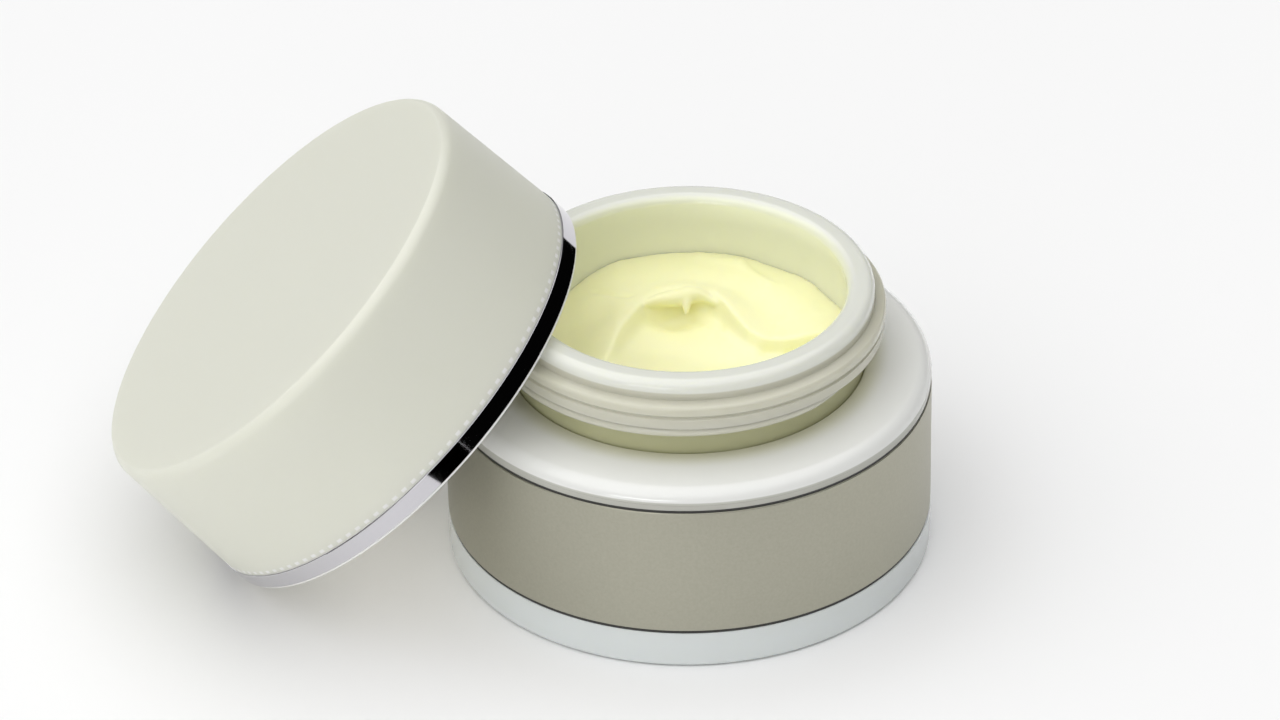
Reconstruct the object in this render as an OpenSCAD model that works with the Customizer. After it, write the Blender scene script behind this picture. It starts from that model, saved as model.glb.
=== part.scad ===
// Cosmetic cream jar, open, with its lid leaning against it.
// The jar stands on the XY plane with its axis on Z, and the lid lies on its -X side.
// All sizes are in millimetres.

/* [Jar outside] */
// Outer diameter of the jar, and of the lid at its open edge
body_d = 62; // [58:0.5:70]
// Height of the glossy foot below the metal sleeve
foot_h = 5.1; // [4:0.1:9]
// Radius of the rounded edge round the foot
foot_round = 0.8; // [0.4:0.1:1.4]
// Width of the flat ring that the jar stands on
stand_w = 4; // [2.5:0.1:7]
// How far the middle of the base is pushed up
push_up = 0.9; // [0.4:0.1:1.4]
// Wall of the outer shell
shell_wall = 1.8; // [1.2:0.1:2.6]
// Floor of the outer shell, measured from the ground
shell_floor = 3; // [2.4:0.1:4]

/* [Metal sleeve and seams] */
// Height of the satin metal sleeve
sleeve_h = 17.7; // [14:0.1:24]
// Thickness of the satin metal sleeve
sleeve_t = 0.6; // [0.4:0.05:1]
// Height of the thin dark ring at each end of the sleeve
seam_h = 0.4; // [0.3:0.05:0.8]
// How far a dark ring sits back from the sleeve's face
seam_inset = 0.15; // [0.05:0.05:0.3]

/* [Shoulder collar] */
// Height of the collar's upright edge
collar_edge_h = 0.8; // [0.6:0.1:2]
// Radius of the collar's rounded outer edge
shoulder_round = 1.9; // [1:0.1:2.4]
// Rise of the collar's top from its rounded edge to the neck
shoulder_crown = 0.4; // [0.2:0.1:1.2]
// Thickness of the collar's skirt, outside the cup's flange
collar_skirt = 1.4; // [1:0.1:2]

/* [Neck] */
// Width of the shoulder, from the jar's side in to the neck
shoulder_w = 8.4; // [7.6:0.1:10]
// Height of the neck above the shoulder
neck_h = 10.95; // [9.5:0.05:13]
// How far the ridge round the neck stands out from the neck
ridge_proud = 2.58; // [2:0.02:2.9]
// Height of the bare neck below the thread band
band_rise = 4.9; // [4:0.1:5.6]
// Distance from the lip down to the top of the ridge
ridge_drop = 2.7; // [2.5:0.1:3.4]
// How far the band below the ridge sits back from it
band_inset = 0.18; // [0.05:0.01:0.4]
// Depth of the groove between the ridge and the band
groove_depth = 0.3; // [0.2:0.02:0.5]
// How far the lip's bead stands out from the neck
lip_proud = 1.15; // [0.8:0.05:1.6]
// Radius of the lip's rounded outer edge
lip_round = 1.2; // [0.7:0.1:1.4]
// Wall of the lip, from the mouth to the outside of the bead
lip_wall = 3.55; // [3.2:0.05:4.4]

/* [Inner cup] */
// Wall of the cup below the shoulder
cup_wall = 2.2; // [1.6:0.1:2.6]
// Floor of the cup
cup_floor = 1.8; // [1.2:0.1:2.6]
// Gap between the cup's floor and the shell's floor
cup_gap = 1.4; // [1:0.1:3]
// Outer radius of the cup's rounded bottom corner
cup_round = 9; // [6:0.5:12]
// Thickness of the flange that carries the cup
flange_t = 1.2; // [1:0.1:1.6]

/* [Cream] */
// Distance from the lip down to the cream along the wall
fill_drop = 8.85; // [8:0.05:12]
// Depth of the scooped trough below the cream's level
scoop_depth = 3.4; // [1.5:0.1:4.5]
// Radius of the ball that would press the trough
scoop_ball = 15; // [12:0.5:18]
// Height of the curled ridge above the cream's level
ridge_rise = 1.9; // [1:0.1:2.2]
// Distance from the trough's middle to the ridge
ridge_reach = 10.8; // [10:0.1:11.5]

/* [Lid] */
// Height of the lid
lid_h = 22.8; // [20:0.1:26]
// How much smaller in radius the lid is at its top than at its foot
lid_draft = 0.75; // [0.3:0.05:1.2]
// Radius of the rounded edge round the lid's top
lid_round = 1.25; // [0.8:0.05:2]
// Side wall of the lid's shell
lid_wall = 1.7; // [1.4:0.1:2.2]
// Top wall of the lid's shell
lid_top_t = 2.2; // [1.6:0.1:3]
// Height of the bright trim ring
trim_h = 2.1; // [1.5:0.1:3]
// Thickness of the bright trim ring
trim_t = 0.8; // [0.6:0.05:1]
// How far the trim ring stands proud of the lid
trim_proud = 0.14; // [0.05:0.01:0.3]
// Height of the pale rim below the trim ring
rim_h = 0.55; // [0.4:0.05:1]

/* [Lid inner cap] */
// Radial room between the neck's ridge and the cap's skirt
thread_room = 0.75; // [0.5:0.05:0.9]
// Wall of the cap's skirt
skirt_wall = 1.6; // [1.2:0.1:2]
// Extra radius where the skirt's mouth opens out
lead_w = 1.75; // [1.2:0.05:1.9]
// Height of the skirt's opened-out mouth
lead_h = 1.3; // [1:0.1:1.8]
// Thickness of the cap's ceiling
ceiling_t = 1.4; // [1:0.1:2]
// Thickness of the foam liner
liner_t = 1; // [0.6:0.1:1.6]
// Height of the ribbed plug wall above the rim
plug_h = 3; // [2.6:0.1:4]
// Thickness of the plug wall behind its ribs
plug_wall = 1; // [0.7:0.1:1.2]
// Number of ribs round the plug wall
rib_count = 120; // [60:6:120]
// Depth of a rib
rib_depth = 0.4; // [0.2:0.05:0.5]

/* [Leaning lid] */
// Tilt of the lid from lying flat with its top up
lid_tilt = 42.9; // [36:0.1:50]
// Gap between the lid and what it touches
lean_gap = 0.3; // [0.2:0.05:0.5]
// Gap between pieces that fit into each other
fit_gap = 0.05; // [0.02:0.01:0.08]

/* [Hidden] */
$fn = 96;

// Radii from the jar's side in to the mouth
body_r = body_d / 2;
neck_r = body_r - shoulder_w;
ridge_r = neck_r + ridge_proud;
band_r = ridge_r - band_inset;
lip_r = neck_r + lip_proud;
mouth_r = lip_r - lip_wall;

// Shape of the ridge, the band and the lip
band_edge = 0.2;
band_slope = 0.9;
ridge_edge = 0.6;
ridge_h = 1.4;
groove_h = 0.6;
lip_bead_h = 1.45;
mouth_lead = 1.2;

// Heights of the jar's seams, from the ground up
z_sleeve = foot_h + seam_h;
z_sleeve_top = z_sleeve + sleeve_h;
z_collar = z_sleeve_top + seam_h;
z_edge = z_collar + collar_edge_h;
z_flange_top = z_sleeve_top + flange_t;
z_crown = z_edge + shoulder_round;
z_shoulder = z_crown + shoulder_crown;
z_lip = z_shoulder + neck_h;
z_band = z_shoulder + band_rise;
z_ridge_top = z_lip - ridge_drop;
z_land_top = z_lip - lip_bead_h;
z_fill = z_lip - fill_drop;
z_cup = shell_floor + cup_gap;

// Radii of the nested jar pieces
recess_r = body_r - sleeve_t - fit_gap;
shell_in_r = recess_r - shell_wall;
flange_r = body_r - collar_skirt - fit_gap;
cup_in_r = neck_r - cup_wall;
cup_in_round = cup_round - cup_wall;

// Radii and heights of the lid's pieces, from its open edge towards its top
lid_top_r = body_r - lid_draft;
tongue_r = body_r + trim_proud - trim_t - fit_gap;
shell_foot = rim_h + trim_h;
lid_in_r = body_r - lid_wall;
lid_in_top_r = lid_in_r - lid_draft;
lid_in_h = lid_h - lid_top_t;
skirt_r = ridge_r + thread_room;
lead_r = skirt_r + lead_w;
skirt_out_r = skirt_r + skirt_wall;
liner_z = neck_h - lean_gap;
ceiling_z = liner_z + liner_t;
plug_r = lid_in_r - fit_gap;
plug_top = rim_h + plug_h;
plug_root_r = plug_r - rib_depth;
plug_in_r = plug_root_r - plug_wall;
rim_round = 0.15;

// The cream's trough and its ridge, seen from above
scoop_x = -2.5;
scoop_y = -7;
ridge_tube = 2.6;
ridge_start = -12;
ridge_sweep = 150;
cream_gap = lean_gap;

// Points of an arc about a centre, from one angle to another
function arc(cx, cy, r, from, to, steps = 8) =
    [for (i = [0:steps])
        let (a = from + (to - from) * i / steps) [cx + r * cos(a), cy + r * sin(a)]];

// Outer radius of the jar at a height, with the gap added, on the safe side below the lip
function jar_reach(z) =
    z <= z_shoulder ? body_r + lean_gap :
    z <= z_ridge_top ? ridge_r + lean_gap :
    z <= z_land_top ? lip_r + lean_gap + (ridge_r - lip_r) * (z_land_top - z) / (z_land_top - z_ridge_top) :
    z <= z_lip - lip_round ? lip_r + lean_gap :
    lip_r - lip_round + sqrt(max(0, (lip_round + lean_gap) ^ 2 - (z - z_lip + lip_round) ^ 2));

// How far towards the jar the lid's axis may come for one point of the lid's mouth
function clear_x(r, h, turn) =
    let (
        z = lid_z + h * cos(lid_tilt) + r * cos(turn) * sin(lid_tilt),
        reach = jar_reach(z),
        side = r * sin(turn)
    )
    z > z_lip + lean_gap || side >= reach ? 0 :
    h * sin(lid_tilt) - r * cos(turn) * cos(lid_tilt) - sqrt(reach ^ 2 - side ^ 2);

// The lid's edge rests on the ground, and it slides in until its mouth meets the lip
lid_z = body_r * sin(lid_tilt) + lean_gap;
lid_x = min([
    for (turn = [0:88])
        for (edge = [[lead_r, 0], [(lead_r + skirt_r) / 2, lead_h / 2], [skirt_r, lead_h], [body_r, 0]])
            clear_x(edge[0], edge[1], turn)
]);

// Puts a lid piece where the lid leans
module lean() {
    translate([lid_x, 0, lid_z]) rotate([0, -lid_tilt, 0]) children();
}

// Thick acrylic shell: the glossy foot, and behind the sleeve the wall that carries it
module outer_shell() {
    color("#e4e4ea") rotate_extrude() polygon(concat(
        [[0, push_up], [body_r - foot_round - stand_w - push_up, push_up]],
        [[body_r - foot_round - stand_w, 0]],
        arc(body_r - foot_round, foot_round, foot_round, -90, 0),
        [[body_r, foot_h], [recess_r, foot_h], [recess_r, z_sleeve_top]],
        [[shell_in_r, z_sleeve_top], [shell_in_r, shell_floor + shell_wall]],
        arc(shell_in_r - shell_wall, shell_floor + shell_wall, shell_wall, 0, -90),
        [[0, shell_floor]]
    ));
}

// A plain ring between two radii and two heights
module ring(r_in, r_out, z, h) {
    translate([0, 0, z]) difference() {
        cylinder(r = r_out, h = h);
        translate([0, 0, -h]) cylinder(r = r_in, h = 3 * h);
    }
}

module satin_sleeve() {
    color("#a8a491") ring(recess_r + fit_gap, body_r, z_sleeve, sleeve_h);
}

module lower_seam_ring() {
    color("#3a3934") ring(recess_r + fit_gap, body_r - seam_inset, foot_h, seam_h);
}

module upper_seam_ring() {
    color("#3a3934") ring(flange_r + fit_gap, body_r - seam_inset, z_sleeve_top, seam_h);
}

// Glossy collar: a skirt round the cup's flange, a rounded edge and a gently rising top
module shoulder_collar() {
    color("#eceef0") rotate_extrude() polygon(concat(
        [[flange_r + fit_gap, z_collar], [body_r, z_collar]],
        arc(body_r - shoulder_round, z_edge, shoulder_round, 0, 90),
        [[neck_r + fit_gap, z_shoulder], [neck_r + fit_gap, z_flange_top]],
        [[flange_r + fit_gap, z_flange_top]]
    ));
}

// Opal cup: a rounded bottom, a flange that sits on the shell, and the threaded neck
module inner_cup() {
    color("#e6e9e6") rotate_extrude() polygon(concat(
        [[0, z_cup]],
        arc(neck_r - cup_round, z_cup + cup_round, cup_round, -90, 0),
        [[neck_r, z_sleeve_top], [flange_r, z_sleeve_top]],
        [[flange_r, z_flange_top], [neck_r, z_flange_top]],
        neck_outline(),
        arc(cup_in_r - cup_in_round, z_cup + cup_floor + cup_in_round, cup_in_round, 0, -90),
        [[0, z_cup + cup_floor]]
    ));
}

// The neck from its root, over the band, the ridge and the lip, to the inside of the mouth
function neck_outline() = concat(
    [[neck_r, z_band - band_slope]],
    arc(band_r - band_edge, z_band + band_edge, band_edge, -60, 0, 3),
    [[band_r, z_ridge_top - ridge_h - groove_h]],
    [[ridge_r - groove_depth, z_ridge_top - ridge_h - groove_h / 2]],
    [[ridge_r, z_ridge_top - ridge_h]],
    arc(ridge_r - ridge_edge, z_ridge_top - ridge_edge, ridge_edge, 0, 72, 5),
    [[lip_r, z_land_top]],
    arc(lip_r - lip_round, z_lip - lip_round, lip_round, 0, 90),
    arc(mouth_r + mouth_lead, z_lip - mouth_lead, mouth_lead, 90, 180),
    [[cup_in_r, z_lip - 3 * mouth_lead]]
);

// Soft cream: it fills the cup to its level, with a scooped trough and a curled ridge
module cream() {
    fill_r = cup_in_r - cream_gap;
    fill_round = cup_in_round - cream_gap;
    floor_z = z_cup + cup_floor + cream_gap;
    color("#f6f3c9") difference() {
        union() {
            rotate_extrude() polygon(concat(
                [[0, floor_z]],
                arc(fill_r - fill_round, floor_z + fill_round, fill_round, -90, 0),
                [[fill_r, z_fill], [0, z_fill]]
            ));
            translate([scoop_x, scoop_y, z_fill + ridge_rise - ridge_tube])
                rotate([0, 0, ridge_start])
                    rotate_extrude(angle = ridge_sweep)
                        translate([ridge_reach, 0]) circle(ridge_tube);
        }
        translate([scoop_x, scoop_y, z_fill - scoop_depth + scoop_ball]) sphere(scoop_ball);
    }
}

// Frosted lid shell: a drafted cup whose thin tongue carries the trim ring
module lid_shell() {
    color("#d8d8d4") lean() rotate_extrude() polygon(concat(
        [[lid_in_r, rim_h], [tongue_r, rim_h], [tongue_r, shell_foot]],
        [[body_r, shell_foot]],
        arc(lid_top_r - lid_round, lid_h - lid_round, lid_round, 0, 90),
        [[0, lid_h], [0, lid_in_h], [lid_in_top_r - lid_round, lid_in_h]],
        [[lid_in_top_r, lid_in_h - lid_round], [lid_in_r, plug_top + fit_gap]]
    ));
}

module lid_trim_ring() {
    color("#c9c9cf") lean() ring(tongue_r + fit_gap, body_r + trim_proud, rim_h, trim_h);
}

// White inner cap: the visible rim, the skirt that screws on, and the ribbed plug wall
module lid_inner_cap() {
    color("#f2f2f0") lean() {
        rotate_extrude() polygon(concat(
            [[lead_r, 0]],
            arc(body_r - rim_round, rim_round, rim_round, -90, 0, 3),
            [[body_r, rim_h], [skirt_out_r, rim_h], [skirt_out_r, ceiling_z + ceiling_t]],
            [[0, ceiling_z + ceiling_t], [0, ceiling_z]],
            [[skirt_r, ceiling_z], [skirt_r, lead_h]]
        ));
        translate([0, 0, rim_h]) linear_extrude(plug_h) difference() {
            polygon([
                for (i = [0:rib_count - 1], side = [0, 1])
                    let (a = (i + side / 2) * 360 / rib_count, r = side == 0 ? plug_r : plug_root_r)
                        [r * cos(a), r * sin(a)]
            ]);
            circle(plug_in_r);
        }
    }
}

module lid_liner() {
    color("#fafafa") lean() translate([0, 0, liner_z]) cylinder(r = skirt_r - fit_gap, h = liner_t);
}

outer_shell();
satin_sleeve();
lower_seam_ring();
upper_seam_ring();
shoulder_collar();
inner_cup();
cream();
lid_shell();
lid_trim_ring();
lid_inner_cap();
lid_liner();
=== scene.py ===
# %% [markdown]
# # An open cream jar with its lid leaning on it
# The jar is a double-walled one: a thick acrylic shell outside, an opal cup inside, a satin metal
# sleeve round the middle and a glossy collar on top. The lid is frosted, with a bright trim ring.
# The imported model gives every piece's size and place, so the first step is to load it.

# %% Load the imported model
import math

import bpy
from mathutils import Matrix, Vector, noise


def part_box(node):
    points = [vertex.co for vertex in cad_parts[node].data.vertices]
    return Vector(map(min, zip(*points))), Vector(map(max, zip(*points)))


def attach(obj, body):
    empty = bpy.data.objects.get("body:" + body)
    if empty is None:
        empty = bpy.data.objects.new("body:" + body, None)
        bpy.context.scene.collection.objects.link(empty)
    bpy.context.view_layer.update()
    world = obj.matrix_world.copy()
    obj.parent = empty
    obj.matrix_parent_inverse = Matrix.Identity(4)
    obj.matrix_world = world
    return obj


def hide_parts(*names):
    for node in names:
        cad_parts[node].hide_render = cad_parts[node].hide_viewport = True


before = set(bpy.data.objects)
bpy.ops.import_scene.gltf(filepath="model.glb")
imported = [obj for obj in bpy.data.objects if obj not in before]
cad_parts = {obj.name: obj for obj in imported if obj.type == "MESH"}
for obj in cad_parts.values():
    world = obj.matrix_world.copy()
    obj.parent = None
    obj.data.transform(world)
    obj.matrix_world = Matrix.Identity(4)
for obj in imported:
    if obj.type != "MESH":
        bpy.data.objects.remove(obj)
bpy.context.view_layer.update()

# %% [markdown]
# ## Measures
# Blender works in metres, and a jar is easier to think of in millimetres, so every outline below is
# written in millimetres and `MM` turns it into metres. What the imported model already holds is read
# from it: the height of each seam, the radius of the body, the place of the lid.

# %% Read the jar's heights and radii from the model
MM = 0.001


def box_mm(node):
    """The lowest and the highest corner of a CAD node, in millimetres."""
    low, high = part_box(node)
    return low / MM, high / MM


seam_low = box_mm("lower_seam_ring")[0]
sleeve_low, sleeve_high = box_mm("satin_sleeve")
collar_low, collar_high = box_mm("shoulder_collar")
cup_low, cup_high = box_mm("inner_cup")
cream_high = box_mm("cream")[1]

body_r = sleeve_high.x
foot_z = seam_low.z
shoulder_z = collar_high.z
lip_z = cup_high.z
print("body radius", body_r, "shoulder at", shoulder_z, "lip at", lip_z)

# %% Read where the lid leans
LID_TILT = math.radians(42.9)
RIM_H = 0.55
TRIM_H = 2.1
LID_H = 22.8

trim_low, trim_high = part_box("lid_trim_ring")
lid_axis = Vector((-math.sin(LID_TILT), 0, math.cos(LID_TILT)))
lid_foot = (trim_low + trim_high) / 2 - lid_axis * (RIM_H + TRIM_H / 2) * MM
lean = Matrix.Translation(lid_foot) @ Matrix.Rotation(-LID_TILT, 4, "Y")
print("the lid's open edge is centred at", lid_foot)

# %% [markdown]
# ## The camera
# A long lens from well above keeps the circles of the jar close to true ellipses. The camera stands
# straight in front of the jar and is turned a little, so that the jar sits right of the middle.

# %% Place the camera
CAMERA_DISTANCE = 0.8394
CAMERA_RISE = math.radians(34.41)
CAMERA_LENS = 182.8
CAMERA_YAW = math.radians(0.42)
CAMERA_PITCH = math.radians(-1.48)
CAMERA_ROLL = math.radians(-0.71)

camera_data = bpy.data.cameras.new("camera")
camera_data.lens = CAMERA_LENS
camera_data.sensor_width = 36.0
camera_data.clip_start = 0.01
camera = bpy.data.objects.new("camera", camera_data)
bpy.context.scene.collection.objects.link(camera)
camera_turn = (
    Matrix.Rotation(math.radians(90) - CAMERA_RISE, 4, "X")
    @ Matrix.Rotation(CAMERA_YAW, 4, "Y")
    @ Matrix.Rotation(-CAMERA_PITCH, 4, "X")
    @ Matrix.Rotation(CAMERA_ROLL, 4, "Z")
)
camera_place = Vector((0, -math.cos(CAMERA_RISE), math.sin(CAMERA_RISE))) * CAMERA_DISTANCE
camera.matrix_world = Matrix.Translation(camera_place) @ camera_turn
bpy.context.scene.camera = camera
print("camera at", camera_place)

# %% [markdown]
# ## The floor and the light
# The jar stands on a pale sheet that runs far past the view. A broad sky of light overhead, a
# little to the left, gives the soft short shadows. The room round the table is dark. A mirror
# shows what stands round it, so the trim ring is black where it faces the room and white where it
# faces the sheet. The sheet ends a hand's breadth in front of the jar, where a black card lies
# that only mirrors see. A narrow strip lamp in front, low on the left, draws the thin highlights.

# %% Lay the floor and the black card
FLOOR_SIZE = 8.0
FLOOR_TONE = (0.92, 0.92, 0.92)
CARD_SIZE = 4.0
CARD_EDGE = -0.140


def clear_selection():
    """Leave edit mode if it is on, and deselect everything."""
    if bpy.context.mode != "OBJECT":
        bpy.ops.object.mode_set(mode="OBJECT")
    bpy.ops.object.select_all(action="DESELECT")


def principled(name, color, roughness, metallic=0.0):
    """A new material with one Principled shader, whose plain values sit on its own sockets."""
    material = bpy.data.materials.new(name)
    material.use_nodes = True
    shader = material.node_tree.nodes["Principled BSDF"]
    shader.inputs["Base Color"].default_value = (*color, 1)
    shader.inputs["Roughness"].default_value = roughness
    shader.inputs["Metallic"].default_value = metallic
    return material, shader


def stage_plane(name, size, place, color):
    """A plane of the studio, in a plain matt colour."""
    clear_selection()
    bpy.ops.mesh.primitive_plane_add(size=size, location=place)
    plane = bpy.context.object
    plane.name = name
    material, shader = principled(name + "_paint", color, 0.9)
    shader.inputs["Specular IOR Level"].default_value = 0
    plane.data.materials.append(material)
    return plane


floor = stage_plane("floor", FLOOR_SIZE, (0, 0, 0), FLOOR_TONE)
card = stage_plane("black_card", CARD_SIZE, (0, CARD_EDGE - CARD_SIZE / 2, MM), (0, 0, 0))
card.visible_camera = card.visible_diffuse = card.visible_shadow = False
card.visible_transmission = False
print("floor:", floor.dimensions)

# %% Light the sky overhead
SKY_TONE = (1.0, 1.0, 1.0, 1)
ROOM_TONE = (0.001, 0.001, 0.001, 1)
SKY_STRENGTH = 1.63
SKY_AXIS = Vector((-0.16, -0.10, 1.0)).normalized()
SKY_EDGE = 0.60
SKY_SOFT = 0.36


def link_math(tree, operation, *values):
    """A Math node whose inputs are sockets or numbers. Gives back its output."""
    node = tree.nodes.new("ShaderNodeMath")
    node.operation = operation
    for socket, value in zip(node.inputs, values):
        if isinstance(value, (int, float)):
            socket.default_value = value
        else:
            tree.links.new(value, socket)
    return node.outputs[0]


def soft_step(tree, value, edge, width):
    """0 below the edge and 1 above it, with a soft change of the given width."""
    node = tree.nodes.new("ShaderNodeMapRange")
    node.interpolation_type = "SMOOTHSTEP"
    node.inputs["From Min"].default_value = edge - width / 2
    node.inputs["From Max"].default_value = edge + width / 2
    tree.links.new(value, node.inputs["Value"])
    return node.outputs["Result"]


world = bpy.data.worlds.new("studio")
bpy.context.scene.world = world
world.use_nodes = True
tree = world.node_tree
background = tree.nodes["Background"]
background.inputs["Strength"].default_value = SKY_STRENGTH
along_axis = tree.nodes.new("ShaderNodeVectorMath")
along_axis.operation = "DOT_PRODUCT"
along_axis.inputs[1].default_value = SKY_AXIS
tree.links.new(tree.nodes.new("ShaderNodeTexCoord").outputs["Generated"], along_axis.inputs[0])
sky = tree.nodes.new("ShaderNodeMix")
sky.data_type = "RGBA"
sky.inputs["A"].default_value = ROOM_TONE
sky.inputs["B"].default_value = SKY_TONE
tree.links.new(soft_step(tree, along_axis.outputs["Value"], SKY_EDGE, SKY_SOFT), sky.inputs["Factor"])
tree.links.new(sky.outputs["Result"], background.inputs["Color"])
bpy.context.scene.view_settings.view_transform = "Standard"
print("sky:", len(tree.nodes), "nodes")

# %% Set up the strip lamp
STRIP_PLACE = Vector((-0.24, -0.66, 0.085))
STRIP_LENGTH, STRIP_HEIGHT = 0.34, 0.035
STRIP_POWER = 0.8

strip_data = bpy.data.lights.new("strip_lamp", "AREA")
strip_data.shape = "RECTANGLE"
strip_data.size = STRIP_LENGTH
strip_data.size_y = STRIP_HEIGHT
strip_data.energy = STRIP_POWER
strip = bpy.data.objects.new("strip_lamp", strip_data)
bpy.context.scene.collection.objects.link(strip)
aim = STRIP_PLACE - Vector((0, 0, shoulder_z * MM))
strip.matrix_world = Matrix.Translation(STRIP_PLACE) @ aim.to_track_quat("Z", "Y").to_matrix().to_4x4()
print("strip lamp at", STRIP_PLACE)

# %% [markdown]
# ## Light through the lid
# Frosted plastic lets some light through, so the shadow under a real lid is pale and warm. Light
# that truly passes two walls takes many samples to look clean. A small lamp under the lid gives the
# same pale shadow at once, and it rides the lid, so that it isn't left behind when the lid lifts.

# %% Let light through the lid
GLOW_PLACE = Vector((-0.037, -0.006, 0.017))
GLOW_AIM = Vector((0.18, -0.06, -0.98))
GLOW_SPREAD = math.radians(140)
GLOW_SIZE = 0.036
GLOW_POWER = 0.0015
GLOW_TONE = (1.0, 0.97, 0.87)

glow_data = bpy.data.lights.new("lid_glow", "AREA")
glow_data.shape = "DISK"
glow_data.size = GLOW_SIZE
glow_data.energy = GLOW_POWER
glow_data.color = GLOW_TONE
glow_data.spread = GLOW_SPREAD
glow = bpy.data.objects.new("lid_glow", glow_data)
bpy.context.scene.collection.objects.link(glow)
glow.visible_glossy = glow.visible_camera = False
glow.matrix_world = (
    Matrix.Translation(GLOW_PLACE) @ (-GLOW_AIM).to_track_quat("Z", "Y").to_matrix().to_4x4()
)
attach(glow, "lid")
print("glow under the lid at", GLOW_PLACE)

# %% [markdown]
# ## Turning a piece on the lathe
# Nearly every piece of a jar is round, so it is made as a turner would make it. Its outline is
# drawn point by point in the XZ plane by extruding one vertex, and the outline is then spun a full
# turn about the jar's axis. Round edges are arcs in the outline, which keeps them true circles.

# %% Helpers for outlines and lathe work
SPIN_STEPS = 144
SMOOTH_ANGLE = math.radians(32)
DOUBLE_GAP = 1e-6


def arc(radius_at, height_at, radius, start, end, steps=6):
    """Points of an arc about (radius_at, height_at), from one angle in degrees to another."""
    points = []
    for i in range(steps + 1):
        a = math.radians(start + (end - start) * i / steps)
        points.append((radius_at + radius * math.cos(a), height_at + radius * math.sin(a)))
    return points


def draw_outline(name, outline):
    """A new object in edit mode, whose mesh is the outline as a chain of edges."""
    clear_selection()
    bpy.ops.mesh.primitive_plane_add(size=MM, location=(0, 0, 0))
    piece = bpy.context.object
    piece.name = name
    piece.data.name = name
    bpy.ops.object.mode_set(mode="EDIT")
    bpy.ops.mesh.merge(type="CENTER")
    here = (0.0, 0.0)
    for i, point in enumerate(outline):
        step = ((point[0] - here[0]) * MM, 0, (point[1] - here[1]) * MM)
        if i == 0:
            bpy.ops.transform.translate(value=step)
        else:
            bpy.ops.mesh.extrude_region_move(TRANSFORM_OT_translate={"value": step})
        here = point
    return piece


def apply_modifier(piece, kind, **settings):
    """Add a modifier with the given settings and apply it."""
    bpy.ops.object.modifier_add(type=kind)
    modifier = piece.modifiers[-1]
    for setting, value in settings.items():
        setattr(modifier, setting, value)
    bpy.ops.object.modifier_apply(modifier=modifier.name)


def close_and_smooth(piece, angle=SMOOTH_ANGLE):
    """Merge doubles, turn the faces outwards and shade the piece smooth between its sharp edges.

    The weighted normals keep a tall flat wall flat in the shading, right up to its rounded edge.
    """
    bpy.ops.mesh.select_all(action="SELECT")
    bpy.ops.mesh.remove_doubles(threshold=DOUBLE_GAP)
    bpy.ops.mesh.normals_make_consistent(inside=False)
    bpy.ops.object.mode_set(mode="OBJECT")
    bpy.ops.object.shade_smooth_by_angle(angle=angle)
    apply_modifier(piece, "WEIGHTED_NORMAL", keep_sharp=True)
    return piece


def lathe(name, outline, steps=SPIN_STEPS, closed=True):
    """Spin an outline of (radius, height) points in millimetres about the Z axis."""
    ends_meet = [outline[0]] if closed else []
    piece = draw_outline(name, outline + ends_meet)
    bpy.ops.mesh.select_all(action="SELECT")
    bpy.ops.mesh.spin(steps=steps, angle=2 * math.pi, center=(0, 0, 0), axis=(0, 0, 1))
    close_and_smooth(piece)
    print(name, len(piece.data.polygons), "faces")
    return piece


def lean_with_lid(piece):
    """Move a lid piece, made upright at the origin, to where the lid leans, and apply its place."""
    clear_selection()
    piece.select_set(True)
    bpy.context.view_layer.objects.active = piece
    piece.matrix_world = lean
    bpy.ops.object.transform_apply(location=True, rotation=True, scale=True)
    return piece


def hand_over(piece, body, slot, material, *nodes):
    """Finish a piece: its material, the body it rides on and the CAD nodes it stands for. The slot is
    not used.
    """
    piece.data.materials.clear()
    piece.data.materials.append(material)
    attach(piece, body)
    if nodes:
        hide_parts(*nodes)


# %% [markdown]
# ## The outer shell
# The shell is a thick acrylic cup. Only its foot shows: a glossy milky ring with a small round
# edge where it meets the table. The rest of it is a thin wall that carries the metal sleeve, and
# the flange of the inner cup rests on its rim.

# %% Milky acrylic
MILKY = (0.71, 0.745, 0.74)

milky_acrylic, shader = principled("milky_acrylic", MILKY, 0.08)
shader.inputs["IOR"].default_value = 1.49
shader.inputs["Subsurface Weight"].default_value = 0.35
shader.inputs["Subsurface Radius"].default_value = (1.0, 1.0, 1.2)
shader.inputs["Subsurface Scale"].default_value = 2 * MM


def add_noise(material, scale, detail=2.0, roughness=0.5):
    """A Noise texture on Object coordinates, which stay with the piece. Gives back its value."""
    nodes, links = material.node_tree.nodes, material.node_tree.links
    coordinates = nodes.new("ShaderNodeTexCoord").outputs["Object"]
    texture = nodes.new("ShaderNodeTexNoise")
    texture.inputs["Scale"].default_value = scale
    texture.inputs["Detail"].default_value = detail
    texture.inputs["Roughness"].default_value = roughness
    links.new(coordinates, texture.inputs["Vector"])
    return texture.outputs["Fac"]


def spread(material, value, low, high, socket):
    """Feed a texture value that runs from 0 to 1 to a shader socket, between two limits."""
    nodes, links = material.node_tree.nodes, material.node_tree.links
    node = nodes.new("ShaderNodeMapRange")
    node.inputs["To Min"].default_value = low
    node.inputs["To Max"].default_value = high
    links.new(value, node.inputs["Value"])
    links.new(node.outputs["Result"], socket)


def bump(material, value, distance, strength=0.3):
    """Use a texture value as a fine height, in metres."""
    nodes, links = material.node_tree.nodes, material.node_tree.links
    node = nodes.new("ShaderNodeBump")
    node.inputs["Strength"].default_value = strength
    node.inputs["Distance"].default_value = distance
    links.new(value, node.inputs["Height"])
    shader = nodes["Principled BSDF"]
    links.new(node.outputs["Normal"], shader.inputs["Normal"])


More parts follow.
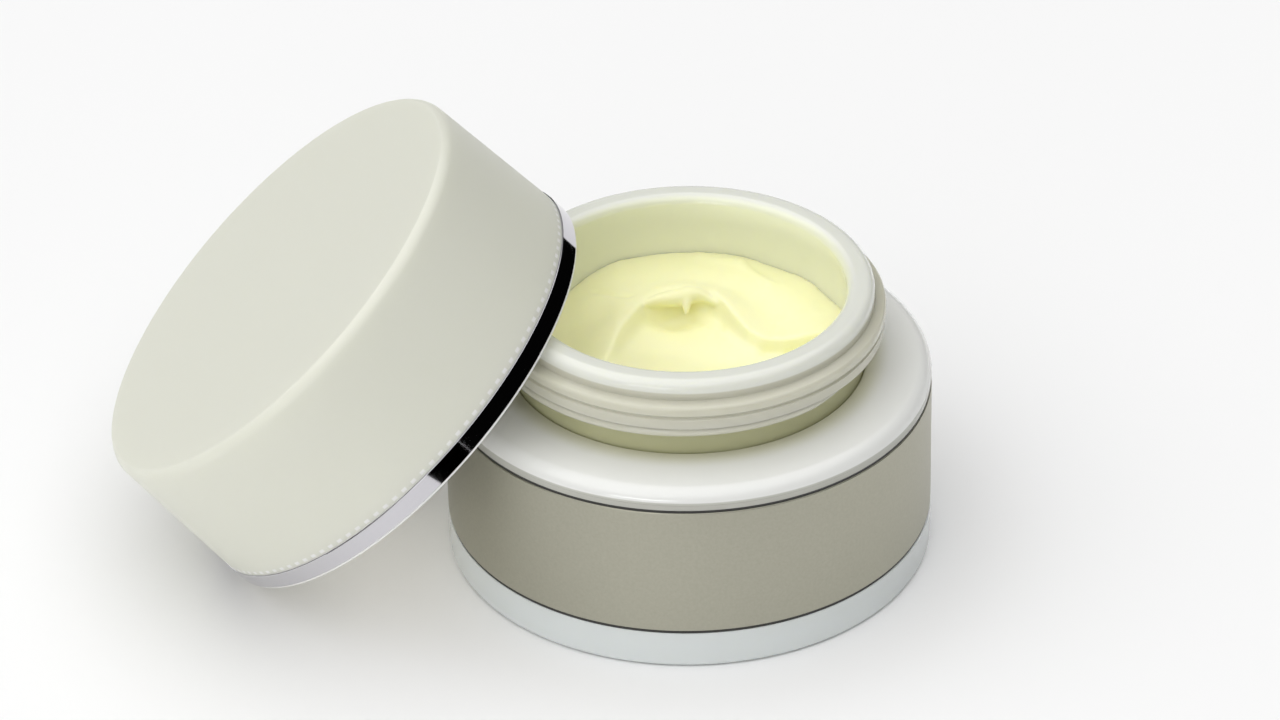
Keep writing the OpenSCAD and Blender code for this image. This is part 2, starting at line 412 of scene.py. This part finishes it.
def two_tones(material, value, first, second):
    """Mix two colours by a texture value and feed them to the base colour."""
    nodes, links = material.node_tree.nodes, material.node_tree.links
    node = nodes.new("ShaderNodeValToRGB")
    node.color_ramp.elements[0].color = (*first, 1)
    node.color_ramp.elements[1].color = (*second, 1)
    links.new(value, node.inputs["Fac"])
    links.new(node.outputs["Color"], nodes["Principled BSDF"].inputs["Base Color"])
    return node.color_ramp


spread(milky_acrylic, add_noise(milky_acrylic, 400), 0.06, 0.11, shader.inputs["Roughness"])

# %% Turn the shell
FOOT_ROUND = 0.8
STAND_W = 4.0
PUSH_UP = 0.9
SLEEVE_T = 0.65
SHELL_WALL = 1.8
SHELL_FLOOR = 3.0
EDGE = 0.12

recess_r = body_r - SLEEVE_T
shell_in_r = recess_r - SHELL_WALL
shell = lathe("jar_shell", [
    (0, PUSH_UP),
    (body_r - FOOT_ROUND - STAND_W - PUSH_UP, PUSH_UP),
    (body_r - FOOT_ROUND - STAND_W, 0),
    *arc(body_r - FOOT_ROUND, FOOT_ROUND, FOOT_ROUND, -90, 0, 8),
    *arc(body_r - EDGE, foot_z - EDGE, EDGE, 0, 90, 3),
    (recess_r, foot_z),
    (recess_r, sleeve_high.z),
    (shell_in_r, sleeve_high.z),
    *arc(shell_in_r - SHELL_WALL, SHELL_FLOOR + SHELL_WALL, SHELL_WALL, 0, -90),
    (0, SHELL_FLOOR),
], closed=False)
hand_over(shell, "jar", "shell_acrylic", milky_acrylic, "outer_shell")

# %% [markdown]
# ## The metal sleeve and the shaded seams
# The sleeve is a thin tube with a fine satin grain. At each end its edge turns in a little, which
# catches the light as a thin line. Under it and over it sits a thin ring, set back a trifle, whose
# near-black colour is painted shade for the narrow gap there.

# %% [markdown]
# ## Painted shade and bounce light that follow the shape
# The opal cup and the collar are painted darker and warmer where shade falls on them, under the band
# and by the neck, and the cup's inside is painted with the cream's warm bounce light. A painted map
# would need unwrapping, so the tints follow each point's radius and height instead.

# %% Masks by radius and height


def place_in_mm(material, foot=Vector((0, 0, 0)), tilt=0.0):
    """The x, y and z of each point in millimetres, read in a frame that stands on the foot."""
    tree = material.node_tree
    mapping = tree.nodes.new("ShaderNodeMapping")
    mapping.vector_type = "TEXTURE"
    mapping.inputs["Location"].default_value = foot
    mapping.inputs["Rotation"].default_value = (0, tilt, 0)
    mapping.inputs["Scale"].default_value = (MM, MM, MM)
    coordinates = tree.nodes.new("ShaderNodeTexCoord")
    tree.links.new(coordinates.outputs["Object"], mapping.inputs["Vector"])
    parts = tree.nodes.new("ShaderNodeSeparateXYZ")
    tree.links.new(mapping.outputs["Vector"], parts.inputs["Vector"])
    return parts.outputs


def radius_of(material):
    """How far each point lies from the jar's axis, in millimetres."""
    tree = material.node_tree
    x, y, z = place_in_mm(material)
    squares = [link_math(tree, "MULTIPLY", side, side) for side in (x, y)]
    return link_math(tree, "SQRT", link_math(tree, "ADD", *squares))


def height_of(material):
    """How far each point lies above the table, in millimetres."""
    return place_in_mm(material)[2]


def below(material, value, edge, width):
    """A mask that is 1 below the edge and 0 above it."""
    tree = material.node_tree
    return link_math(tree, "SUBTRACT", 1, soft_step(tree, value, edge, width))


def window(material, value, low, high, width):
    """A mask that is 1 between two edges."""
    tree = material.node_tree
    return link_math(tree, "MULTIPLY", soft_step(tree, value, low, width),
                     below(material, value, high, width))


def layer_tints(material, base, *layers):
    """Lay tints over the base colour in turn, each where its own mask is 1."""
    tree = material.node_tree
    colour = None
    for mask, tone in layers:
        mix = tree.nodes.new("ShaderNodeMix")
        mix.data_type = "RGBA"
        under, over = mix.inputs[6], mix.inputs[7]
        under.default_value = (*base, 1)
        over.default_value = (*tone, 1)
        if colour:
            tree.links.new(colour, under)
        tree.links.new(mask, mix.inputs[0])
        colour = mix.outputs[2]
    tree.links.new(colour, tree.nodes["Principled BSDF"].inputs["Base Color"])
    print(material.name, "has", len(layers), "tints")


# %% Satin metal
satin_metal, shader = principled("satin_metal", (0.58, 0.55, 0.47), 0.42, 1.0)
grain = add_noise(satin_metal, 2600, 3.0, 0.6)
bump(satin_metal, grain, 0.02 * MM, 0.35)
two_tones(satin_metal, grain, (0.39, 0.38, 0.31), (0.47, 0.46, 0.38))

# %% Turn the sleeve
SLEEVE_EDGE = 0.15

sleeve = lathe("metal_sleeve", [
    (recess_r + 0.05, sleeve_low.z),
    *arc(body_r - SLEEVE_EDGE, sleeve_low.z + SLEEVE_EDGE, SLEEVE_EDGE, -90, 0, 4),
    *arc(body_r - SLEEVE_EDGE, sleeve_high.z - SLEEVE_EDGE, SLEEVE_EDGE, 0, 90, 4),
    (recess_r + 0.05, sleeve_high.z),
])
hand_over(sleeve, "jar", "satin_metal", satin_metal, "satin_sleeve")

# %% Dark rings
# Painted shade: the seam rings are coloured near-black to stand for the shade in the narrow gaps above
# and below the sleeve.
gap_shade_black, shader = principled("painted_gap_shade", (0.03, 0.03, 0.026), 0.5)
spread(gap_shade_black, add_noise(gap_shade_black, 900), 0.4, 0.6, shader.inputs["Roughness"])
for node in ("lower_seam_ring", "upper_seam_ring"):
    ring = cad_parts[node]
    ring.data.materials.clear()
    ring.data.materials.append(gap_shade_black)

# %% [markdown]
# ## The shoulder collar
# The collar covers the joint between shell and cup. Its top rises gently to the neck, its outer
# edge is well rounded, and below that a short upright edge drops to the dark seam.

# %% White gloss
GLOSS = (0.82, 0.825, 0.80)
# The two darker tones below are painted shade: one near the neck, under the band's overhang, and one on
# the collar's short upright edge.
GLOSS_SHADE_BY_NECK = (0.70, 0.69, 0.56)
GLOSS_EDGE_SHADE = (0.50, 0.50, 0.45)

white_gloss, shader = principled("white_gloss", GLOSS, 0.12)
shader.inputs["Subsurface Weight"].default_value = 0.3
shader.inputs["Subsurface Radius"].default_value = (1.0, 1.0, 1.0)
shader.inputs["Subsurface Scale"].default_value = 1.5 * MM
spread(white_gloss, add_noise(white_gloss, 500), 0.10, 0.16, shader.inputs["Roughness"])

# %% Turn the collar
SHOULDER_ROUND = 1.9
COLLAR_EDGE_H = 0.8
COLLAR_SKIRT = 1.4
COLLAR_STEP = 0.1
SHOULDER_W = 8.4
FLANGE_T = 1.2

edge_z = collar_low.z + COLLAR_EDGE_H
neck_r = body_r - SHOULDER_W
flange_top = sleeve_high.z + FLANGE_T
collar = lathe("shoulder_collar_turned", [
    (body_r - COLLAR_SKIRT, collar_low.z), (body_r - COLLAR_STEP, collar_low.z),
    (body_r - COLLAR_STEP, edge_z - COLLAR_STEP),
    *arc(body_r - SHOULDER_ROUND, edge_z, SHOULDER_ROUND, 0, 86, 14),
    *arc(neck_r + 0.35, shoulder_z - 0.3, 0.3, 90, 180, 4),
    (neck_r + 0.05, flange_top),
    (body_r - COLLAR_SKIRT, flange_top),
])
# Painted shade: the collar is darker and warmer near the neck and on its upright edge, where less light
# falls.
shade_by_neck = below(white_gloss, radius_of(white_gloss), neck_r + 1.8, 3.0)
shade_on_edge = below(white_gloss, height_of(white_gloss), edge_z + 0.3, 0.2)
layer_tints(white_gloss, GLOSS, (shade_by_neck, GLOSS_SHADE_BY_NECK), (shade_on_edge, GLOSS_EDGE_SHADE))
hand_over(collar, "jar", "collar_gloss", white_gloss, "shoulder_collar")

# %% [markdown]
# ## The inner cup
# The cup is opal plastic, a little see-through, so light bleeds through its lip and its neck. The
# neck carries a broad band with a rounded upper ridge. Under the band runs the screw thread, which
# tapers in at its start. It is rolled round a path, because a turned outline can't climb.

# %% Opal plastic
OPAL = (0.76, 0.77, 0.71)
# The band tone and the in-shade tone are painted shade: the neck's upright faces below the lip, and the
# wall under the band, are darker and warmer where less light reaches.
OPAL_BAND_SHADE = (0.60, 0.59, 0.49)
# Painted bounce light: the cup's inside is tinted warm yellow for the light the cream throws on it.
OPAL_CREAM_BOUNCE = (0.84, 0.86, 0.72)
OPAL_IN_SHADE = (0.56, 0.56, 0.34)

opal, shader = principled("opal_plastic", OPAL, 0.12)
shader.inputs["Subsurface Weight"].default_value = 0.6
shader.inputs["Subsurface Radius"].default_value = (1.0, 1.0, 0.85)
shader.inputs["Subsurface Scale"].default_value = 2 * MM
spread(opal, add_noise(opal, 350), 0.06, 0.10, shader.inputs["Roughness"])

# %% Thread rolled under the band


def roll(name, route):
    """A tapered round roll along a route of (x, y, z, radius) points in millimetres."""
    clear_selection()
    bpy.ops.curve.primitive_nurbs_path_add(location=(0, 0, 0))
    curve = bpy.context.object
    curve.name = name
    curve.data.splines.clear()
    spline = curve.data.splines.new("NURBS")
    spline.points.add(len(route) - 1)
    spline.order_u = 3
    spline.use_endpoint_u = True
    for point, (x, y, z, radius) in zip(spline.points, route):
        point.co = (x * MM, y * MM, z * MM, 1)
        point.radius = radius
    curve.data.bevel_depth = MM
    curve.data.bevel_resolution = 6
    curve.data.use_fill_caps = True
    bpy.ops.object.convert(target="MESH")
    return bpy.context.object


THREAD_START = -38
THREAD_TURN = 150
THREAD_STEP = 4
THREAD_FALL = 0.55
THREAD_R = 24.2
THREAD_TOP = 31.25
THREAD_SIZE = 0.75
THREAD_TIP = 0.3
THREAD_TAPER = 20


def thread_route():
    """Points of the thread, which tapers in at its start and falls slowly to the left."""
    route = []
    for step in range(0, THREAD_TURN + 1, THREAD_STEP):
        turn = math.radians(THREAD_START - step)
        share = step / THREAD_TURN
        from_end = min(step, THREAD_TURN - step)
        size = THREAD_SIZE * min(1, THREAD_TIP + from_end / THREAD_TAPER)
        height = THREAD_TOP - THREAD_FALL * share
        route.append((THREAD_R * math.cos(turn), THREAD_R * math.sin(turn), height, size))
    return route


thread = roll("thread", thread_route())
print("thread from", THREAD_START, "to", THREAD_START - THREAD_TURN, "degrees")

# %% Turn the cup
RIDGE_PROUD = 2.58
RIDGE_DROP = 2.7
RIDGE_H = 1.4
RIDGE_EDGE = 0.6
BAND_INSET = 0.18
BAND_RISE = 4.9
BAND_EDGE = 0.2
GROOVE_H = 0.6
GROOVE_DEPTH = 0.3
LIP_PROUD = 1.15
LIP_ROUND = 1.2
LIP_WALL = 3.55
LIP_BEAD_H = 1.45
MOUTH_LEAD = 1.2
CUP_WALL = 2.2
CUP_ROUND = 9.0
CUP_FLOOR = 1.8

ridge_r = neck_r + RIDGE_PROUD
band_r = ridge_r - BAND_INSET
lip_r = neck_r + LIP_PROUD
mouth_r = lip_r - LIP_WALL
cup_in_r = neck_r - CUP_WALL
cup_in_round = CUP_ROUND - CUP_WALL
flange_r = cup_high.x
ridge_top = lip_z - RIDGE_DROP
band_z = shoulder_z + BAND_RISE
cup_z = cup_low.z
cup = lathe("opal_cup", [
    (0, cup_z),
    *arc(neck_r - CUP_ROUND, cup_z + CUP_ROUND, CUP_ROUND, -90, 0, 10),
    (neck_r, sleeve_high.z), (flange_r, sleeve_high.z), (flange_r, flange_top), (neck_r, flange_top),
    (neck_r, band_z - 0.9),
    *arc(band_r - BAND_EDGE, band_z + BAND_EDGE, BAND_EDGE, -80, 0, 5),
    (band_r, ridge_top - RIDGE_H - GROOVE_H),
    *arc(band_r - 0.05, ridge_top - RIDGE_H - GROOVE_H / 2, GROOVE_DEPTH - 0.1, 250, 110, 5),
    *arc(ridge_r - 0.25, ridge_top - RIDGE_H + 0.25, 0.25, -80, 0, 4),
    *arc(ridge_r - RIDGE_EDGE, ridge_top - RIDGE_EDGE, RIDGE_EDGE, 0, 60, 8),
    *arc(lip_r + 1.05, lip_z - LIP_BEAD_H - 0.75, 1.1, 195, 165, 4),
    *arc(lip_r - LIP_ROUND, lip_z - LIP_ROUND, LIP_ROUND, -8, 90, 12),
    *arc(mouth_r + MOUTH_LEAD, lip_z - MOUTH_LEAD, MOUTH_LEAD, 90, 180, 10),
    (cup_in_r, lip_z - 3 * MOUTH_LEAD),
    *arc(cup_in_r - cup_in_round, cup_z + CUP_FLOOR + cup_in_round, cup_in_round, 0, -90, 10),
    (0, cup_z + CUP_FLOOR),
], closed=False)
clear_selection()
for piece in (thread, cup):
    piece.select_set(True)
bpy.context.view_layer.objects.active = cup
bpy.ops.object.join()
# Painted shade on the neck below the lip bead and on the wall under the band.
shade_under_lip = below(opal, height_of(opal), lip_z - LIP_BEAD_H - 0.1, 0.3)
shade_under_band = link_math(
    opal.node_tree, "MULTIPLY", below(opal, height_of(opal), band_z - 0.2, 0.3),
    below(opal, radius_of(opal), neck_r + 0.9, 0.5))
# Painted bounce light: the cup's inside takes the cream's warm tint.
inside = below(opal, radius_of(opal), cup_in_r + 0.3, 0.6)
layer_tints(opal, OPAL, (shade_under_lip, OPAL_BAND_SHADE), (shade_under_band, OPAL_IN_SHADE), (inside, OPAL_CREAM_BOUNCE))
hand_over(cup, "jar", "opal_cup", opal, "inner_cup")

# %% [markdown]
# ## The cream
# The cream is turned as a plain filling with a finely divided top, which a rule then shapes. A
# finger has swept a trough towards the front and pushed up a ridge behind it, so the rule measures
# how far each point lies from the ridge's line, and on which side. The curl that hangs over the
# trough can't be a height over the ground, so it is a short tapered roll, melted into the rest by
# a voxel remesh, which suits a soft mass with no edges.

# %% Soft cream
CREAM = (0.98, 0.955, 0.57)

cream_soft, shader = principled("soft_cream", CREAM, 0.34)
shader.inputs["Subsurface Weight"].default_value = 0.45
shader.inputs["Subsurface Radius"].default_value = (1.0, 0.9, 0.45)
shader.inputs["Subsurface Scale"].default_value = 0.7 * MM
bump(cream_soft, add_noise(cream_soft, 400), 0.04 * MM, 0.4)
spread(cream_soft, add_noise(cream_soft, 200), 0.31, 0.38, shader.inputs["Roughness"])

# %% The rule for the cream's surface
CREAM_R = cup_in_r + 0.15
CREAM_FLOOR = 22.0
RIDGE_RISE = 1.9
LEVEL = cream_high.z - RIDGE_RISE
TROUGH_DROP = 1.5
TROUGH_RUN = 3.5
FRONT_START, FRONT_RUN, FRONT_RISE = 4, 12, 0.5
RIDGE_LINE = [
    (-10.4, -4.0, 0.3), (-9.1, -0.2, 0.9), (-7.6, 3.0, 1.4), (-5.7, 6.6, 1.9), (-3.1, 7.9, 2.2),
    (-0.5, 8.7, 2.4), (1.4, 8.5, 2.3), (3.4, 7.8, 2.1), (4.7, 6.0, 1.9), (6.2, 3.4, 1.6),
    (8.0, 0.6, 1.3), (9.8, -1.0, 1.1), (13.0, -1.1, 1.0), (16.8, 0.0, 0.8), (20.5, 1.6, 0.6),
]
RIDGE_BACK = 4.6
RIDGE_FACE = 0.75
LEFT_SLOPE = (-9.0, 6.0, 1.3)
CREASES = [
    ((-11.6, 12.4), (-7.4, 8.6), 0.30, 0.45), ((0.4, 6.0), (4.4, 3.0), 0.35, 0.35),
    ((1.5, 19.4), (7.0, 17.6), -0.45, 0.9), ((7.0, 17.6), (10.6, 12.6), -0.40, 0.8),
    ((9.6, -1.9), (13.0, -1.8), 0.8, 0.6), ((13.0, -1.8), (16.8, -0.8), 1.1, 0.55),
]
POCKET = (-2.2, 6.0, 1.3, 1.6)
POCKET_STRETCH = 1.8
FOLD_SIZE = 7.5
FOLD_H = 0.5
FOLD_STRETCH = 1.4
WALL_RUN = 2.2
WALL_CLIMB = 0.4


def to_segment(point, start, end):
    """How far a point lies from a segment, how far along it, and its side: 1 left, -1 right."""
    along, offset = end - start, point - start
    share = min(max(offset.dot(along) / along.length_squared, 0), 1)
    side = 1 if along.x * offset.y - along.y * offset.x > 0 else -1
    return (offset - along * share).length, share, side


def to_ridge(point):
    """The signed distance to the ridge's line, positive behind it, and the ridge's rise there."""
    best = (math.inf, 0, 1)
    for first, second in zip(RIDGE_LINE, RIDGE_LINE[1:]):
        distance, share, side = to_segment(point, Vector(first[:2]), Vector(second[:2]))
        if distance < best[0]:
            best = (distance, first[2] + (second[2] - first[2]) * share, side)
    return best[0] * best[2], best[1]


def cream_height(x, y):
    """The height of the cream's surface over a place in the cup."""
    point = Vector((x, y))
    distance, rise = to_ridge(point)
    if distance > 0:
        height = LEVEL + rise * math.exp(-((distance / RIDGE_BACK) ** 2))
    else:
        drop = TROUGH_DROP * (1 - math.exp(distance / TROUGH_RUN))
        drop *= 1 - FRONT_RISE * min(1, max(0, -y - FRONT_START) / FRONT_RUN)
        height = LEVEL - drop + rise * math.exp(-((distance / RIDGE_FACE) ** 2))
    for start, end, depth, width in CREASES:
        near = to_segment(point, Vector(start), Vector(end))[0]
        height -= depth * math.exp(-((near / width) ** 2))
    pocket_x, pocket_y, depth, width = POCKET
    across = ((x - pocket_x) / (POCKET_STRETCH * width)) ** 2
    height -= depth * math.exp(-across - ((y - pocket_y) / width) ** 2)
    slope_x, slope_run, slope_drop = LEFT_SLOPE
    height -= slope_drop * min(1, max(0, slope_x - x) / slope_run)
    height += FOLD_H * noise.noise(Vector((x, y * FOLD_STRETCH, 0)) / FOLD_SIZE)
    wall = max(0, math.hypot(x, y) - CREAM_R + WALL_RUN) / WALL_RUN
    return height + WALL_CLIMB * wall ** 2


# %% Turn the filling and shape its top
TOP_RINGS = 72
CREAM_SPIN = 264

rim = (CREAM_R, LEVEL - 2)
filling = [(0, CREAM_FLOOR), (CREAM_R - 0.5, CREAM_FLOOR), (CREAM_R, CREAM_FLOOR + 1), rim]
filling += [(CREAM_R * (1 - i / TOP_RINGS), LEVEL) for i in range(TOP_RINGS + 1)]
swirl = lathe("cream_swirl", filling, steps=CREAM_SPIN, closed=False)
for vertex in swirl.data.vertices:
    if vertex.co.z > (LEVEL - 1) * MM:
        vertex.co.z = cream_height(vertex.co.x / MM, vertex.co.y / MM) * MM
print("cream from", CREAM_FLOOR, "to", max(v.co.z for v in swirl.data.vertices) / MM)

# %% Roll the curl and melt it into the ridge
CURL = [
    (-5.6, 6.6, 29.9, 0.35), (-4.2, 7.0, 30.2, 0.75), (-2.6, 7.1, 30.4, 1.0), (-1.0, 7.2, 30.5, 1.15),
    (0.4, 7.6, 30.7, 1.2), (1.6, 7.7, 30.6, 0.95), (2.9, 7.2, 30.3, 0.6), (3.9, 6.3, 30.0, 0.3),
]
NOSE = [(0.1, 8.2, 30.9, 1.0), (0.0, 6.9, 30.6, 0.85), (-0.1, 5.9, 29.9, 0.55), (-0.1, 5.2, 29.2, 0.25)]
VOXEL = 0.24

rolls = [roll("curl", CURL), roll("nose", NOSE)]
clear_selection()
for piece in (*rolls, swirl):
    piece.select_set(True)
bpy.context.view_layer.objects.active = swirl
bpy.ops.object.join()
apply_modifier(swirl, "REMESH", mode="VOXEL", voxel_size=VOXEL * MM)
apply_modifier(swirl, "SMOOTH", factor=0.5, iterations=4)
bpy.ops.object.shade_smooth()
print("cream_swirl", len(swirl.data.polygons), "faces")
hand_over(swirl, "jar", "cream", cream_soft, "cream")

# %% [markdown]
# ## The lid
# The lid is a frosted shell with a bright trim ring over its foot, and a white inner cap that
# carries the screw thread. Each piece is turned upright at the origin, where its outline is easy to
# read, and is then leaned with the lid. The cap's ribs show through the frosted wall as a row of
# pale marks, which the shell's colour draws. The trim ring laps a little over the rim of the cap.

# %% Frosted acrylic
FROST = (0.74, 0.745, 0.65)
FROST_PALE = (0.90, 0.90, 0.86)

frosted, shader = principled("frosted_acrylic", FROST, 0.45)
shader.inputs["Subsurface Weight"].default_value = 0.5
shader.inputs["Subsurface Radius"].default_value = (1.0, 1.0, 0.95)
shader.inputs["Subsurface Scale"].default_value = 3 * MM
TILTED = (lid_foot, -LID_TILT)
PIP_COUNT = 120
PIP_LOW, PIP_HIGH = 3.0, 3.45
LINE_LOW, LINE_HIGH = 2.68, 2.8

lid_x, lid_y, lid_h = place_in_mm(frosted, *TILTED)
turns = link_math(frosted.node_tree, "ARCTAN2", lid_y, lid_x)
beats = link_math(frosted.node_tree, "MULTIPLY", turns, PIP_COUNT)
beat = link_math(frosted.node_tree, "COSINE", beats)
row = window(frosted, lid_h, PIP_LOW, PIP_HIGH, 0.2)
pips = link_math(frosted.node_tree, "MULTIPLY", row, soft_step(frosted.node_tree, beat, 0.2, 0.8))
# Painted highlight: a thin pale line on the shell's small round edge just above the trim ring.
line = window(frosted, lid_h, LINE_LOW, LINE_HIGH, 0.06)
layer_tints(frosted, FROST, (pips, FROST_PALE), (line, FROST_PALE))

# %% Turn the lid's shell
LID_DRAFT = 0.75
LID_ROUND = 1.7
LID_IN_ROUND = 1.25
CREASE_R = 0.3
CREASE_TURN = 55
LID_WALL = 1.7
LID_TOP_T = 2.2
TRIM_T = 0.8
TRIM_PROUD = 0.14

lid_top_r = body_r - LID_DRAFT
tongue_r = body_r + TRIM_PROUD - TRIM_T - 0.05
lid_in_r = body_r - LID_WALL
crease = math.radians(CREASE_TURN)
crease_x = lid_top_r - LID_ROUND + (LID_ROUND - CREASE_R) * math.cos(crease)
corner_h = LID_H - CREASE_R - (LID_ROUND - CREASE_R) * math.sin(crease)
lid_shell = lean_with_lid(lathe("frosted_lid", [
    (lid_in_r, RIM_H), (tongue_r, RIM_H), (tongue_r, RIM_H + TRIM_H),
    *arc(body_r - EDGE, RIM_H + TRIM_H + EDGE, EDGE, -90, 0, 3),
    *arc(lid_top_r - LID_ROUND, corner_h, LID_ROUND, 0, CREASE_TURN, 8),
    *arc(crease_x, LID_H - CREASE_R, CREASE_R, CREASE_TURN, 90, 6),
    (0, LID_H), (0, LID_H - LID_TOP_T),
    *arc(lid_in_r - LID_DRAFT - LID_IN_ROUND, LID_H - LID_TOP_T - LID_IN_ROUND, LID_IN_ROUND, 90, 0, 6),
    (lid_in_r, RIM_H + 3.05),
]))
hand_over(lid_shell, "lid", "frosted_lid", frosted, "lid_shell")

# %% Mirror trim
mirror, shader = principled("mirror_trim", (0.62, 0.61, 0.64), 0.05, 1.0)
TRIM_LAP = 0.2
TRIM_EDGE = 0.04

trim_r = body_r + TRIM_PROUD
trim = lean_with_lid(lathe("trim_ring", [
    (tongue_r + 0.05, RIM_H), (body_r + 0.02, RIM_H), (body_r + 0.02, RIM_H - TRIM_LAP),
    (trim_r - TRIM_EDGE, RIM_H - TRIM_LAP), (trim_r, RIM_H - TRIM_LAP + TRIM_EDGE),
    (trim_r, RIM_H + TRIM_H - TRIM_EDGE), (trim_r - TRIM_EDGE, RIM_H + TRIM_H),
    (tongue_r + 0.05, RIM_H + TRIM_H),
]))
hand_over(trim, "lid", "mirror_trim", mirror, "lid_trim_ring")

# %% White cap
cap_white, shader = principled("cap_white", (0.88, 0.88, 0.87), 0.3)
foam_white, shader = principled("foam_white", (0.90, 0.90, 0.89), 0.8)
bump(foam_white, add_noise(foam_white, 3000, 2.0), 0.03 * MM, 0.4)
for node, material in (("lid_inner_cap", cap_white), ("lid_liner", foam_white)):
    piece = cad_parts[node]
    piece.data.materials.clear()
    piece.data.materials.append(material)
